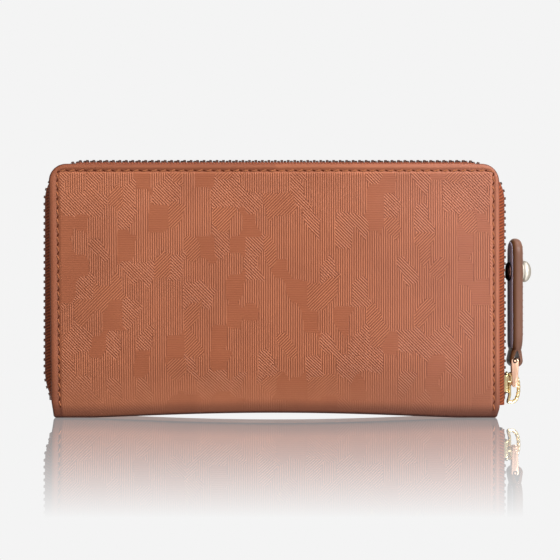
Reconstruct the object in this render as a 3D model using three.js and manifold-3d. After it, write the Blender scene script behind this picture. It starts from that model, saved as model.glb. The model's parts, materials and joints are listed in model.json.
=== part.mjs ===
// A long zip around wallet, standing on its spine with the zip round its two ends and its top.
//
// Frame: millimetres. +X runs along the spine towards the closed end of the zip, +Y goes from the front
// cover to the back cover, +Z is up. The origin is the middle of the spine's flat underside.
//
// The wallet is two stiff covers joined by a soft spine. Each cover is leather over board with a lining, a
// slip pocket and a stack of card slots, and it carries one side of the zip: a tape and its row of teeth.
// A coin pocket with a zip of its own stands on the spine between them, and four pleated gussets close the
// ends of the two note compartments. The slider on the right end carries a D-ring, a link and a leather pull.
import * as THREE from "three";
import { mergeVertices } from "three/addons/utils/BufferGeometryUtils.js";
import Module from "manifold-3d";

const wasm = await Module();
wasm.setup();

// ---- Driving dimensions ----
const COVER = { halfWidth: 96.5, top: 108.8, corner: 6, depth: 12 }; // depth: centre plane to outer face
const LEATHER = 1.2; // cover leather
const SHEET_GAP = 0.1; // air between two layers that lie flat on each other
const SPINE = { sideTop: 3.2, roundness: 3.5, boardThick: 0.8, liningThick: 0.5 };
const FOLD = { y: 11.4, z: 3.6 }; // axis on which each cover leans away from the spine
const COVER_BOTTOM = 3.9;
const INNER_BOTTOM = 5; // lowest edge of everything inside a cover
const ZIP = { corner: 10.7, drop: 1.3 }; // the zip turns wider corners than the covers and lies lower on top
const TOOTH = { pitch: 2.8, length: 1.5, inner: 1.1, root: 2.4, outer: 3.4, near: 1.0, far: 3.1 };
const ZIP_END = 9.8; // height at which both rows of teeth end
const TAPE = { edgeOut: -3.0, edgeY: 10.5, chainOut: 1.9, chainY: 3.5, thick: 0.6, bottom: 5.5 };
const SLIDER = { bottom: 10, height: 9.4, outerHalf: 4, innerHalf: 3.2, plate: 0.7, clear: 0.25 };
const SLIDER_POST = 0.7; // half its thickness
const RING = { wire: 0.7, barX: 101.8, middleZ: 12.3, halfTall: 6.2, reach: 4.0 };
const TURN = (8 * Math.PI) / 180; // how far the ring, with all that hangs on it, is turned on its bar
const LINK_TURN = (-4 * Math.PI) / 180; // the link's own turn; the pull sits askew on its high bar
const EYE = { bore: 0.95, outer: 1.55, bottom: 14.9, height: 2.5 };
const LINK = { x: 104, low: 13.6, high: 24.2, bar: 1.1, foot: 1.15, head: 1.6, thick: 1.1, innerHalf: 5.2 };
const STRAP = { x: 104.1, top: 77, layer: 1.4, core: 1.3, lining: 0.4, halfWide: 6, foldHalf: 4.4 };
const FOLD_BORE = 1.5; // inside of the pull's loop round the link
const STUD = { z: 62.7, radius: 4.6, domeHigh: 4.3, backX: 100.45, backRadius: 4 };
const COIN = { halfWidth: 84, top: 82, halfGap: 1.1, wall: 0.6, zipHalf: 2.1, zipHigh: 2.2, pitch: 2.4 };
const COIN_SLIDER = { x: 72, length: 8.4, halfWide: 3.1, plate: 0.7 };
const COIN_PULL = { length: 15, halfWide: 2.3, thick: 0.9 };
const SLOT = { count: 4, thick: 0.5, halfWidth: 91, top: 92, step: 12, corner: 2 };
const GUSSET = { thick: 0.4, inner: 84.5, outer: 90.5, near: 2.3, far: 6.0, folds: 4, top: 80 };

// ---- Materials ----
const leather = { color: 0xab684d, roughness: 0.62, metalness: 0 };
const darkLeather = { color: 0x8a6450, roughness: 0.58, metalness: 0 };
const board = { color: 0xb59c7a, roughness: 0.9, metalness: 0 };
const fabric = { color: 0x5a4336, roughness: 0.95, metalness: 0 };
const tapeCloth = { color: 0xa1593c, roughness: 0.9, metalness: 0 };
const greyLining = { color: 0x706c79, roughness: 0.85, metalness: 0 };
const steel = { color: 0xb9b4b0, roughness: 0.3, metalness: 1 };
const gold = { color: 0xd9c08c, roughness: 0.25, metalness: 1 };
const roseGold = { color: 0xe7c0a5, roughness: 0.3, metalness: 1 };

const wallet = new THREE.Group();

// What hangs on the slider's eye is drawn about the ring's straight bar and turned on it as one group.
const hanging = new THREE.Group();
hanging.position.set(RING.barX, 0, 0);
hanging.rotation.z = TURN;
wallet.add(hanging);
const linkGroup = new THREE.Group();
linkGroup.position.set(LINK.x - RING.barX, 0, 0);
linkGroup.rotation.z = LINK_TURN - TURN;
hanging.add(linkGroup);

function add(name, geometry, material, group = wallet) {
  const mesh = new THREE.Mesh(geometry, new THREE.MeshStandardMaterial(material));
  mesh.name = name;
  group.add(mesh);
}

function hang(name, geometry, material) {
  add(name, geometry.translate(-RING.barX, 0, 0), material, hanging);
}

// ---- Shape helpers ----
// A shape drawn in X and Z, extruded along Y from low to high.
function alongY(shape, low, high, curveSegments = 8) {
  const geometry = new THREE.ExtrudeGeometry(shape, {
    depth: high - low,
    bevelEnabled: false,
    curveSegments,
  });
  // The extrusion runs along the shape's own third axis: turn that onto -Y, then shift it into place.
  return geometry.rotateX(Math.PI / 2).translate(0, high, 0);
}

// A shape drawn in X and Y, extruded up from low to high.
function alongZ(shape, low, high, curveSegments = 8) {
  const options = { depth: high - low, bevelEnabled: false, curveSegments };
  return new THREE.ExtrudeGeometry(shape, options).translate(0, 0, low);
}

// A shape drawn in Y and Z, extruded along X from low to high.
function alongX(shape, low, high, curveSegments = 8) {
  const options = { depth: high - low, bevelEnabled: false, curveSegments };
  const turn = new THREE.Matrix4().makeBasis(
    new THREE.Vector3(0, 1, 0),
    new THREE.Vector3(0, 0, 1),
    new THREE.Vector3(1, 0, 0),
  );
  return new THREE.ExtrudeGeometry(shape, options).applyMatrix4(turn).translate(low, 0, 0);
}

function rectangle(x0, z0, x1, z1) {
  return new THREE.Shape([
    new THREE.Vector2(x0, z0),
    new THREE.Vector2(x1, z0),
    new THREE.Vector2(x1, z1),
    new THREE.Vector2(x0, z1),
  ]);
}

// A panel with square bottom corners and rounded top ones.
function panel(halfWidth, bottom, top, corner) {
  const shape = new THREE.Shape();
  shape.moveTo(-halfWidth, bottom);
  shape.lineTo(halfWidth, bottom);
  shape.lineTo(halfWidth, top - corner);
  shape.absarc(halfWidth - corner, top - corner, corner, 0, Math.PI / 2, false);
  shape.lineTo(-halfWidth + corner, top);
  shape.absarc(-halfWidth + corner, top - corner, corner, Math.PI / 2, Math.PI, false);
  shape.lineTo(-halfWidth, bottom);
  return shape;
}

// The layer of one cover that lies from near to far, both counted from the centre plane.
function layer(side, shape, near, far) {
  return side < 0 ? alongY(shape, -far, -near) : alongY(shape, near, far);
}

// ---- The zip's line: up the left end, over the top and down the right end, at a distance from the cover ----
function zipLine(out, bottom) {
  const x = COVER.halfWidth + out;
  const z = COVER.top - ZIP.drop + out;
  const radius = ZIP.corner + out;
  const line = new THREE.CurvePath();
  line.add(new THREE.LineCurve3(new THREE.Vector3(-x, 0, bottom), new THREE.Vector3(-x, 0, z - radius)));
  line.add(new Corner(-x + radius, z - radius, radius, Math.PI));
  line.add(new THREE.LineCurve3(new THREE.Vector3(-x + radius, 0, z), new THREE.Vector3(x - radius, 0, z)));
  line.add(new Corner(x - radius, z - radius, radius, Math.PI / 2));
  line.add(new THREE.LineCurve3(new THREE.Vector3(x, 0, z - radius), new THREE.Vector3(x, 0, bottom)));
  return line;
}

// A quarter circle in X and Z that turns clockwise from an angle.
class Corner extends THREE.Curve {
  constructor(x, z, radius, start) {
    super();
    Object.assign(this, { x, z, radius, start });
  }
  getPoint(t, target = new THREE.Vector3()) {
    const angle = this.start - (t * Math.PI) / 2;
    return target.set(
      this.x + this.radius * Math.cos(angle),
      0,
      this.z + this.radius * Math.sin(angle),
    );
  }
}

// ---- Solids ----
function solidOf(geometry) {
  const plain = geometry.clone();
  plain.deleteAttribute("normal");
  plain.deleteAttribute("uv");
  const merged = mergeVertices(plain, 1e-3);
  return new wasm.Manifold(
    new wasm.Mesh({
      numProp: 3,
      vertProperties: new Float32Array(merged.attributes.position.array),
      triVerts: new Uint32Array(merged.index.array),
    }),
  );
}

function geometryOf(solid) {
  const mesh = solid.getMesh();
  const geometry = new THREE.BufferGeometry();
  geometry.setAttribute("position", new THREE.BufferAttribute(new Float32Array(mesh.vertProperties), 3));
  geometry.setIndex(new THREE.BufferAttribute(new Uint32Array(mesh.triVerts), 1));
  geometry.computeVertexNormals();
  return geometry;
}

function joined(...geometries) {
  const solids = geometries.map(solidOf);
  return geometryOf(solids.slice(1).reduce((sum, solid) => sum.add(solid), solids[0]));
}

function box(x0, y0, z0, x1, y1, z1) {
  const geometry = new THREE.BoxGeometry(x1 - x0, y1 - y0, z1 - z0);
  return geometry.translate((x0 + x1) / 2, (y0 + y1) / 2, (z0 + z1) / 2);
}

// ---- Spine ----
function spine() {
  const { depth } = COVER;
  const { sideTop, roundness } = SPINE;
  const innerRound = roundness - LEATHER;
  const section = new THREE.Shape();
  section.moveTo(-depth, sideTop + 0.3);
  section.absarc(-depth + roundness, roundness, roundness, Math.PI, 1.5 * Math.PI, false);
  section.absarc(depth - roundness, roundness, roundness, 1.5 * Math.PI, 2 * Math.PI, false);
  section.lineTo(depth - LEATHER, roundness);
  section.absarc(depth - roundness, roundness, innerRound, 2 * Math.PI, 1.5 * Math.PI, true);
  section.absarc(-depth + roundness, roundness, innerRound, 1.5 * Math.PI, Math.PI, true);
  section.lineTo(-depth, roundness);
  const channel = solidOf(alongX(section, -COVER.halfWidth, COVER.halfWidth));
  const trim = solidOf(box(-200, -50, sideTop, 200, 50, 50));
  add("spine_leather", geometryOf(channel.subtract(trim)), leather);

  const boardLow = LEATHER + SHEET_GAP;
  const boardHigh = boardLow + SPINE.boardThick;
  const liningLow = boardHigh + SHEET_GAP;
  const liningHigh = liningLow + SPINE.liningThick;
  const inside = COVER.halfWidth - 2.5;
  add("spine_board", box(-inside, -8.2, boardLow, inside, 8.2, boardHigh), board);
  add("spine_lining", box(-inside, -9, liningLow, inside, 9, liningHigh), fabric);
  return liningHigh;
}

// ---- One cover, with side -1 for the front and 1 for the back ----
function cover(side, name) {
  const { halfWidth, top, corner, depth } = COVER;
  let far = depth;
  const laid = (part, shape, thick, material) => {
    add(`${name}_${part}`, layer(side, shape, far - thick, far), material);
    far -= thick + SHEET_GAP;
  };
  laid("leather", panel(halfWidth, COVER_BOTTOM, top, corner), LEATHER, leather);
  const inside = panel(halfWidth - 3.6, INNER_BOTTOM, top - ZIP.drop - 3.6, ZIP.corner - 3.9);
  laid("board", inside, 0.8, board);
  laid("lining", inside, 0.5, fabric);
  laid("slip_pocket", panel(SLOT.halfWidth, INNER_BOTTOM, SLOT.top + 6, SLOT.corner), SLOT.thick, leather);
  for (let i = 0; i < SLOT.count; i++) {
    const shape = panel(SLOT.halfWidth, INNER_BOTTOM, SLOT.top - i * SLOT.step, SLOT.corner);
    laid(`card_slot_${i + 1}`, shape, SLOT.thick, leather);
  }
}

// ---- One side of the main zip ----
function zipTape(side) {
  const { edgeOut, edgeY, chainOut, chainY, thick, bottom } = TAPE;
  // Along this path the section's first axis runs along -Y and its second points into the loop.
  const slant = new THREE.Vector2(chainOut - edgeOut, side * (edgeY - chainY)).normalize();
  const half = slant.multiplyScalar(thick / 2);
  const corners = [
    new THREE.Vector2(-side * edgeY + half.x, -edgeOut + half.y),
    new THREE.Vector2(-side * chainY + half.x, -chainOut + half.y),
    new THREE.Vector2(-side * chainY - half.x, -chainOut - half.y),
    new THREE.Vector2(-side * edgeY - half.x, -edgeOut - half.y),
  ];
  return new THREE.ExtrudeGeometry(new THREE.Shape(corners), {
    steps: 110,
    bevelEnabled: false,
    extrudePath: zipLine(0, bottom),
  });
}

// A row of teeth: a comb whose teeth stand out from the band that holds them on the tape's edge.
function zipTeeth() {
  const { pitch, length, inner, root, outer } = TOOTH;
  const tips = zipLine(outer, ZIP_END);
  const count = Math.floor((tips.getLength() - length) / pitch) + 1;
  const spare = (tips.getLength() - length - (count - 1) * pitch) / 2;
  const roots = zipLine(root, ZIP_END);
  const share = (distance) => distance / tips.getLength();
  const flat = (point) => new THREE.Vector2(point.x, point.z);
  const outline = [];
  for (let i = 0; i < count; i++) {
    const from = share(spare + i * pitch);
    const to = share(spare + i * pitch + length);
    outline.push(flat(roots.getPointAt(from)), flat(tips.getPointAt(from)));
    outline.push(flat(tips.getPointAt(to)), flat(roots.getPointAt(to)));
  }
  const underside = zipLine(inner, ZIP_END).getSpacedPoints(70).map(flat).reverse();
  return new THREE.Shape([...outline, ...underside]);
}

function zip() {
  const comb = zipTeeth();
  const edge = COVER.halfWidth + TOOTH.inner;
  for (const [side, name] of [[-1, "front"], [1, "back"]]) {
    add(`${name}_zip_tape`, zipTape(side), tapeCloth);
    add(`${name}_zip_teeth`, layer(side, comb, TOOTH.near, TOOTH.far), steel);
    const topStop = rectangle(edge, ZIP_END - 2.4, edge + 2, ZIP_END - 0.3);
    add(`${name}_top_stop`, layer(side, topStop, TOOTH.near, TOOTH.far), steel);
    // The bottom stop is a clip over both tapes: each tape carries its half.
    const bottomStop = rectangle(-edge - 2, ZIP_END - 2.7, -edge, ZIP_END - 0.3);
    add(`${name}_bottom_stop`, layer(side, bottomStop, 0.15, TOOTH.far), steel);
  }
}

// ---- Slider: two plates and the post between the rows, with an eye for the ring ----
function slider() {
  const { bottom, height, outerHalf, innerHalf, plate, clear } = SLIDER;
  const innerFace = COVER.halfWidth + TOOTH.inner - clear;
  const outerFace = COVER.halfWidth + TOOTH.outer + clear;
  // A plate is wide at its nose, where the rows part, and narrows towards its tail.
  const plateShape = (halfWide) => {
    const shape = new THREE.Shape();
    shape.moveTo(-halfWide + 1.2, bottom);
    shape.lineTo(halfWide - 1.2, bottom);
    shape.quadraticCurveTo(halfWide, bottom, halfWide, bottom + 1.6);
    shape.lineTo(halfWide - 0.7, bottom + height - 0.8);
    shape.quadraticCurveTo(halfWide - 0.8, bottom + height, halfWide - 1.6, bottom + height);
    shape.lineTo(-halfWide + 1.6, bottom + height);
    shape.quadraticCurveTo(-halfWide + 0.8, bottom + height, -halfWide + 0.7, bottom + height - 0.8);
    shape.lineTo(-halfWide, bottom + 1.6);
    shape.quadraticCurveTo(-halfWide, bottom, -halfWide + 1.2, bottom);
    return shape;
  };
  const inner = alongX(plateShape(innerHalf), innerFace - plate, innerFace, 4);
  const outer = alongX(plateShape(outerHalf), outerFace, outerFace + plate, 4);
  const half = SLIDER_POST;
  const post = box(innerFace - 0.2, -half, bottom + 0.5, outerFace + 0.2, half, bottom + 2.6);
  // The eye is a block on the outer plate, rounded round the ring's straight bar.
  const block = new THREE.Shape();
  block.moveTo(outerFace + plate / 2, -EYE.outer);
  block.lineTo(RING.barX, -EYE.outer);
  block.absarc(RING.barX, 0, EYE.outer, -Math.PI / 2, Math.PI / 2, false);
  block.lineTo(outerFace + plate / 2, EYE.outer);
  const eye = solidOf(alongZ(block, EYE.bottom, EYE.bottom + EYE.height));
  const bore = new THREE.CylinderGeometry(EYE.bore, EYE.bore, EYE.height + 2, 24);
  bore.rotateX(Math.PI / 2).translate(RING.barX, 0, EYE.bottom + EYE.height / 2);
  const body = [inner, post, outer].map(solidOf).reduce((sum, solid) => sum.add(solid));
  add("slider_body", geometryOf(body.add(eye).subtract(solidOf(bore))), gold);
}

// ---- D-ring: a straight bar through the eye, and a bow that reaches out from it ----
function dRing() {
  const { wire, barX, middleZ, halfTall, reach } = RING;
  const cornerRadius = 1.1;
  const low = middleZ - halfTall;
  const high = middleZ + halfTall;
  const points = [
    [barX, low + cornerRadius],
    [barX, middleZ - 1],
    [barX, middleZ + 3],
    [barX, high - cornerRadius],
    [barX + 0.4, high - 0.3],
    [barX + cornerRadius, high],
    [barX + reach * 0.72, middleZ + halfTall * 0.72],
    [barX + reach, middleZ + 1.6],
    [barX + reach, middleZ - 1.6],
    [barX + reach * 0.72, middleZ - halfTall * 0.72],
    [barX + cornerRadius, low],
    [barX + 0.4, low + 0.3],
  ].map(([x, z]) => new THREE.Vector3(x, 0, z));
  const path = new THREE.CatmullRomCurve3(points, true, "centripetal");
  const section = new THREE.Shape();
  section.absarc(0, 0, wire, 0, 2 * Math.PI, false);
  const geometry = new THREE.ExtrudeGeometry(section, {
    steps: 48,
    curveSegments: 6,
    bevelEnabled: false,
    extrudePath: path,
  });
  hang("d_ring", geometry, gold);
}

// ---- Link: a flat loop whose low bar hooks the ring and whose high bar holds the pull ----
// Drawn about its own middle. Each leg is narrower at its foot than at its rounded head.
function link() {
  const { low, high, bar, foot, head, thick, innerHalf } = LINK;
  const top = high + 0.95;
  const round = 1.1;
  const shape = new THREE.Shape();
  shape.moveTo(-foot, low - 0.75);
  shape.lineTo(foot, low - 0.75);
  shape.lineTo(head, top - round);
  shape.absarc(head - round, top - round, round, 0, Math.PI / 2, false);
  shape.lineTo(-head + round, top);
  shape.absarc(-head + round, top - round, round, Math.PI / 2, Math.PI, false);
  shape.lineTo(-foot, low - 0.75);
  const legs = [-1, 1].map((side) => solidOf(layer(side, shape, innerHalf, innerHalf + thick)));
  const bars = [low, high].map((z) => {
    const rod = new THREE.CylinderGeometry(bar / 2, bar / 2, 2 * innerHalf + 0.4, 20);
    return solidOf(rod.translate(0, 0, z));
  });
  const whole = [...legs, ...bars].reduce((sum, solid) => sum.add(solid));
  add("pull_link", geometryOf(whole), roseGold, linkGroup);
}

// ---- Leather pull: a strip folded round the link's high bar, filled, lined and held by a stud ----
function strapFace() {
  const { halfWide, foldHalf, top } = STRAP;
  const shoulder = LINK.high + 3.2;
  const shape = new THREE.Shape();
  shape.moveTo(-foldHalf, LINK.high - 4);
  shape.lineTo(foldHalf, LINK.high - 4);
  shape.lineTo(foldHalf, shoulder - 0.8);
  shape.bezierCurveTo(foldHalf, shoulder + 1.5, halfWide, shoulder + 1.5, halfWide, shoulder + 5);
  shape.lineTo(halfWide, top - halfWide);
  shape.absarc(0, top - halfWide, halfWide, 0, Math.PI, false);
  shape.lineTo(-halfWide, shoulder + 5);
  shape.bezierCurveTo(-halfWide, shoulder + 1.5, -foldHalf, shoulder + 1.5, -foldHalf, shoulder - 0.8);
  shape.lineTo(-foldHalf, LINK.high - 4);
  return shape;
}

function pull() {
  const { x, top, layer: thick, core, lining } = STRAP;
  const halfCore = core / 2;
  const halfAll = halfCore + thick;
  const outerRound = FOLD_BORE + thick;
  // Seen from the front: the strip comes down, goes round the bar and goes up again.
  const side = new THREE.Shape();
  const neck = LINK.high + 4.2;
  side.moveTo(x - halfAll, top);
  side.lineTo(x - halfAll, neck);
  side.quadraticCurveTo(x - halfAll, LINK.high + 2, LINK.x - outerRound, LINK.high);
  side.absarc(LINK.x, LINK.high, outerRound, Math.PI, 2 * Math.PI, false);
  side.quadraticCurveTo(x + halfAll, LINK.high + 2, x + halfAll, neck);
  side.lineTo(x + halfAll, top);
  side.lineTo(x + halfCore, top);
  side.lineTo(x + halfCore, neck);
  side.lineTo(LINK.x + FOLD_BORE, LINK.high);
  side.absarc(LINK.x, LINK.high, FOLD_BORE, 2 * Math.PI, Math.PI, true);
  side.lineTo(x - halfCore, neck);
  side.lineTo(x - halfCore, top);
  const strip = solidOf(alongY(side, -STRAP.halfWide - 1, STRAP.halfWide + 1));
  const face = solidOf(alongX(strapFace(), x - 10, x + 10, 10));
  const post = new THREE.CylinderGeometry(1.3, 1.3, 20, 20).rotateZ(Math.PI / 2).translate(x, 0, STUD.z);
  const hole = solidOf(post);
  hang("strap_leather", geometryOf(strip.intersect(face).subtract(hole)), darkLeather);

  const inset = (low, near, far) => {
    const region = solidOf(box(near, -STRAP.halfWide - 1, low, far, STRAP.halfWide + 1, top + 1));
    return geometryOf(region.intersect(face).subtract(hole));
  };
  hang("strap_core", inset(neck + 0.6, x - halfCore + 0.15, x + halfCore - 0.15), board);
  hang("strap_lining", inset(neck + 0.6, x - halfAll - lining - 0.1, x - halfAll - 0.1), greyLining);

  // The stud's dome and shank are one piece, and its back is a round cap that closes on the shank's end.
  const outerFace = x + halfAll + 0.1;
  const innerFace = x - halfAll - lining - 0.2;
  const dome = [new THREE.Vector2(0, -outerFace + innerFace - 0.4)];
  dome.push(new THREE.Vector2(1.0, -outerFace + innerFace - 0.4), new THREE.Vector2(1.0, 0));
  dome.push(new THREE.Vector2(STUD.radius, 0), new THREE.Vector2(STUD.radius, 0.35));
  for (let i = 1; i <= 6; i++) {
    const angle = (i / 6) * (Math.PI / 2);
    const rise = 0.35 + (STUD.domeHigh - 0.35) * Math.sin(angle);
    dome.push(new THREE.Vector2(i < 6 ? STUD.radius * Math.cos(angle) : 0, rise));
  }
  const cap = new THREE.LatheGeometry(dome, 28).rotateZ(-Math.PI / 2).translate(outerFace, 0, STUD.z);
  hang("stud_cap", cap, gold);
  const backLength = innerFace - STUD.backX;
  const disc = new THREE.CylinderGeometry(STUD.backRadius, STUD.backRadius, backLength, 28);
  disc.rotateZ(Math.PI / 2).translate(STUD.backX + backLength / 2, 0, STUD.z);
  const socket = new THREE.CylinderGeometry(1.3, 1.3, 2, 20);
  socket.rotateZ(Math.PI / 2).translate(innerFace, 0, STUD.z);
  hang("stud_back", geometryOf(solidOf(disc).subtract(solidOf(socket))), steel);
}

// ---- Coin pocket with its own zip ----
function coinPocket(floor) {
  const { halfWidth, top, halfGap, wall, zipHalf, zipHigh, pitch } = COIN;
  const low = floor + 0.3;
  const shape = rectangle(-halfWidth, low, halfWidth, top);
  add("coin_pocket_front_wall", alongY(shape, -halfGap - wall, -halfGap), leather);
  add("coin_pocket_back_wall", alongY(shape, halfGap, halfGap + wall), leather);
  add("coin_pocket_base", box(-halfWidth, -halfGap + 0.1, low, halfWidth, halfGap - 0.1, low + 0.8), fabric);
  const tapeLow = top + 0.2;
  for (const [side, name] of [[-1, "front"], [1, "back"]]) {
    const y = [side * 1.3, side * 3.4].sort((a, b) => a - b);
    add(`coin_zip_${name}_tape`, box(-halfWidth, y[0], tapeLow, halfWidth, y[1], tapeLow + 0.5), tapeCloth);
  }
  // The closed coin chain is one comb, with a tooth at every pitch along its top.
  const chainLow = tapeLow + 0.7;
  const band = chainLow + zipHigh * 0.6;
  const points = [new THREE.Vector2(-halfWidth + 3, chainLow)];
  points.push(new THREE.Vector2(halfWidth - 3, chainLow));
  const count = Math.floor((2 * halfWidth - 8) / pitch);
  for (let i = 0; i < count; i++) {
    const x = halfWidth - 3.4 - i * pitch;
    points.push(new THREE.Vector2(x, band), new THREE.Vector2(x, chainLow + zipHigh));
    const back = x - pitch / 2;
    points.push(new THREE.Vector2(back, chainLow + zipHigh), new THREE.Vector2(back, band));
  }
  points.push(new THREE.Vector2(-halfWidth + 3, band));
  add("coin_zip_chain", alongY(new THREE.Shape(points), -zipHalf, zipHalf), steel);
  return chainLow + zipHigh;
}

function coinSlider(chainTop) {
  const { x, length, halfWide, plate } = COIN_SLIDER;
  const low = chainTop + 0.3;
  const bridgeLow = low + plate + 1.5;
  const bridge = 1.0;
  const top = box(x - length / 2, -halfWide, low, x + length / 2, halfWide, low + plate);
  const flank = (side) => {
    const y = [side * (COIN.zipHalf + 0.3), side * halfWide].sort((a, b) => a - b);
    return box(x - length / 2, y[0], low - 1.6, x + length / 2, y[1], low + plate);
  };
  const leg = (end) => box(end - 0.5, -0.8, low, end + 0.5, 0.8, bridgeLow + bridge);
  const arch = box(x - 3, -0.8, bridgeLow, x + 3, 0.8, bridgeLow + bridge);
  add("coin_slider", joined(top, flank(-1), flank(1), leg(x - 2.5), leg(x + 2.5), arch), gold);

  // The pull lies back along the zip: a flat tongue with a window whose end bar sits under the arch.
  const pinZ = low + plate + 0.75;
  const { length: reach, halfWide: halfTab, thick: tab } = COIN_PULL;
  const tongue = box(x - reach, -halfTab, pinZ - tab / 2, x + 0.45, halfTab, pinZ + tab / 2);
  const window = box(x - 4.2, -1.3, pinZ - 5, x - 0.45, 1.3, pinZ + 5);
  add("coin_pull_tab", geometryOf(solidOf(tongue).subtract(solidOf(window))), gold);
}

// ---- Pleated gussets at the ends of the two note compartments ----
function gussets(floor) {
  const { thick, inner, outer, near, far, folds, top } = GUSSET;
  const rise = (far - near) / folds;
  const run = outer - inner;
  const shift = (thick / 2) * (Math.hypot(run, rise) / rise); // half a sheet's thickness, taken along X
  for (const [sideName, side] of [["front", -1], ["back", 1]]) {
    for (const [endName, end] of [["left", -1], ["right", 1]]) {
      const folded = [];
      for (let i = 0; i <= folds; i++) folded.push([i % 2 ? inner : outer, near + i * rise]);
      const one = folded.map(([x, y]) => new THREE.Vector2(end * (x - shift), side * y));
      const other = folded.map(([x, y]) => new THREE.Vector2(end * (x + shift), side * y)).reverse();
      const pleats = alongZ(new THREE.Shape([...one, ...other]), floor + 0.4, top);
      add(`${sideName}_gusset_${endName}`, pleats, fabric);
    }
  }
}

const spineTop = spine();
cover(-1, "front");
cover(1, "back");
zip();
slider();
dRing();
link();
pull();
coinSlider(coinPocket(spineTop));
gussets(spineTop);

export default wallet;
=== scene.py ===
"""A long zip around wallet in embossed brown leather, standing on its spine.

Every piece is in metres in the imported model's own frame: +X along the spine towards the pull, +Y from the
front cover to the back cover, +Z up. Sizes that the CAD fixes are read from its nodes' boxes.
"""
import json
import math
import bmesh
import bpy
import numpy as np
from mathutils import Matrix, Vector


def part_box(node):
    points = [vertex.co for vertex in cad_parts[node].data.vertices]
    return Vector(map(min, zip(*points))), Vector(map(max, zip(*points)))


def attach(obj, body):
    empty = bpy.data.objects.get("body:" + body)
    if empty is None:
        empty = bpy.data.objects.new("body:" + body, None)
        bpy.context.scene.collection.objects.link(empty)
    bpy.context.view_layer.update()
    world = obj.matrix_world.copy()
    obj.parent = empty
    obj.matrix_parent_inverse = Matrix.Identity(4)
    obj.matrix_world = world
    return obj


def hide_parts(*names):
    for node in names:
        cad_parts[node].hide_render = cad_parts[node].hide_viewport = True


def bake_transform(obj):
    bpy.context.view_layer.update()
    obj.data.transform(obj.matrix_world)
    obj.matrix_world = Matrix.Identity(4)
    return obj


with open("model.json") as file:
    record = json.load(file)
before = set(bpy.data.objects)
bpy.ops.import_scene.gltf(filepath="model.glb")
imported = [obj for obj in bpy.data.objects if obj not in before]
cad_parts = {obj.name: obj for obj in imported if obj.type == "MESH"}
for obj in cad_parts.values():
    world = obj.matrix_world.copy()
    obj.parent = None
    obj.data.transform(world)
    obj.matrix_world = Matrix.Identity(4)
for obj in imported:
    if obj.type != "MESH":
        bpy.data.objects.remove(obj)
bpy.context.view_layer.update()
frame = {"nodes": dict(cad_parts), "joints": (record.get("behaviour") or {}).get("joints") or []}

MM = 0.001

# ---- Sizes taken from the frame ----
cover_low, cover_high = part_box("front_leather")
HALF = cover_high.x  # half the width of a cover
TOP = cover_high.z
DEPTH = -cover_low.y  # centre plane to a cover's outer face
teeth_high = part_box("back_zip_teeth")[1]
TIP = teeth_high.x  # furthest reach of the teeth from the middle
TIP_TOP = teeth_high.z
ring_low, ring_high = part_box("d_ring")
joints = {joint["name"]: joint for joint in frame["joints"]}
BAR = Vector(joints["d_ring_swing"]["pos_m"])

# ---- Sizes of the leather work ----
FOLD = 1.6 * MM  # radius of the fold between cover and spine
ARCH = 2.1 * MM  # how far the middle of the spine is lifted off the ground
ARCH_HALF = 80 * MM  # half the length of that lift
ARCH_HIGH = 32 * MM  # height over which that lift dies out
CORNER = 7.5 * MM  # the cover's rounded corners
EDGE = 1.15 * MM  # radius of the turned edge
TURNED = 2.6 * MM  # width of the turned edge's hidden flap
IN_LEFT, IN_TOP, IN_RIGHT = 3.7 * MM, 3.0 * MM, 2.55 * MM  # stitch line to the cover's edges
STITCH_CORNER = 1.8 * MM
STITCH_PITCH = 3.9 * MM
THREAD = 0.33 * MM  # radius
LINE_PITCH = 0.97 * MM  # embossed lines
CELL_LINES = 6.8, 10.4  # size of a patch of them, across and along, in lines
BACK_SHIFT = 0.31  # metres by which the back's embossing is shifted, so that it isn't the front's
FLAT = DEPTH - FOLD  # half the flat width of the spine


# ---- Mesh helpers ----
def add_mesh(name, points, faces, material, smooth=True):
    mesh = bpy.data.meshes.new(name)
    mesh.from_pydata([tuple(p) for p in points], [], faces)
    mesh.validate()
    if smooth:
        mesh.shade_smooth()
    mesh.materials.append(material)
    piece = bpy.data.objects.new(name, mesh)
    bpy.context.collection.objects.link(piece)
    return piece


def grid_faces(rows, columns, closed_rows=False, closed_columns=False):
    faces = []
    for i in range(rows if closed_rows else rows - 1):
        for j in range(columns if closed_columns else columns - 1):
            k, m = (i + 1) % rows, (j + 1) % columns
            faces.append((i * columns + j, i * columns + m, k * columns + m, k * columns + j))
    return faces


def add_grid(name, points, material, **closed):
    """points is an array of rows x columns x 3."""
    rows, columns = points.shape[:2]
    return add_mesh(name, points.reshape(-1, 3), grid_faces(rows, columns, **closed), material)


def set_attribute(piece, name, values):
    attribute = piece.data.attributes.new(name, "FLOAT", "POINT")
    attribute.data.foreach_set("value", np.asarray(values, np.float32).ravel())


def fix_normals(piece):
    work = bmesh.new()
    work.from_mesh(piece.data)
    bmesh.ops.remove_doubles(work, verts=work.verts, dist=1e-6)
    bmesh.ops.recalc_face_normals(work, faces=work.faces)
    work.to_mesh(piece.data)
    work.free()


def filled(piece):
    """Closes the open ends of a grid."""
    work = bmesh.new()
    work.from_mesh(piece.data)
    bmesh.ops.holes_fill(work, edges=work.edges, sides=0)
    work.to_mesh(piece.data)
    work.free()
    fix_normals(piece)
    return piece


def sharp_edges(piece, degrees=40):
    """Smooth shading that keeps edges sharper than this."""
    piece.data.set_sharp_from_angle(angle=math.radians(degrees))
    return piece


def sweep(name, path, sections, material, closed=False):
    """path is N x 3; sections is N x M x 3, each the section's points relative to the path's point."""
    points = path[:, None, :] + sections
    piece = filled(add_grid(name, points, material, closed_rows=closed, closed_columns=True))
    piece.data.shade_smooth()
    return piece


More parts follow.
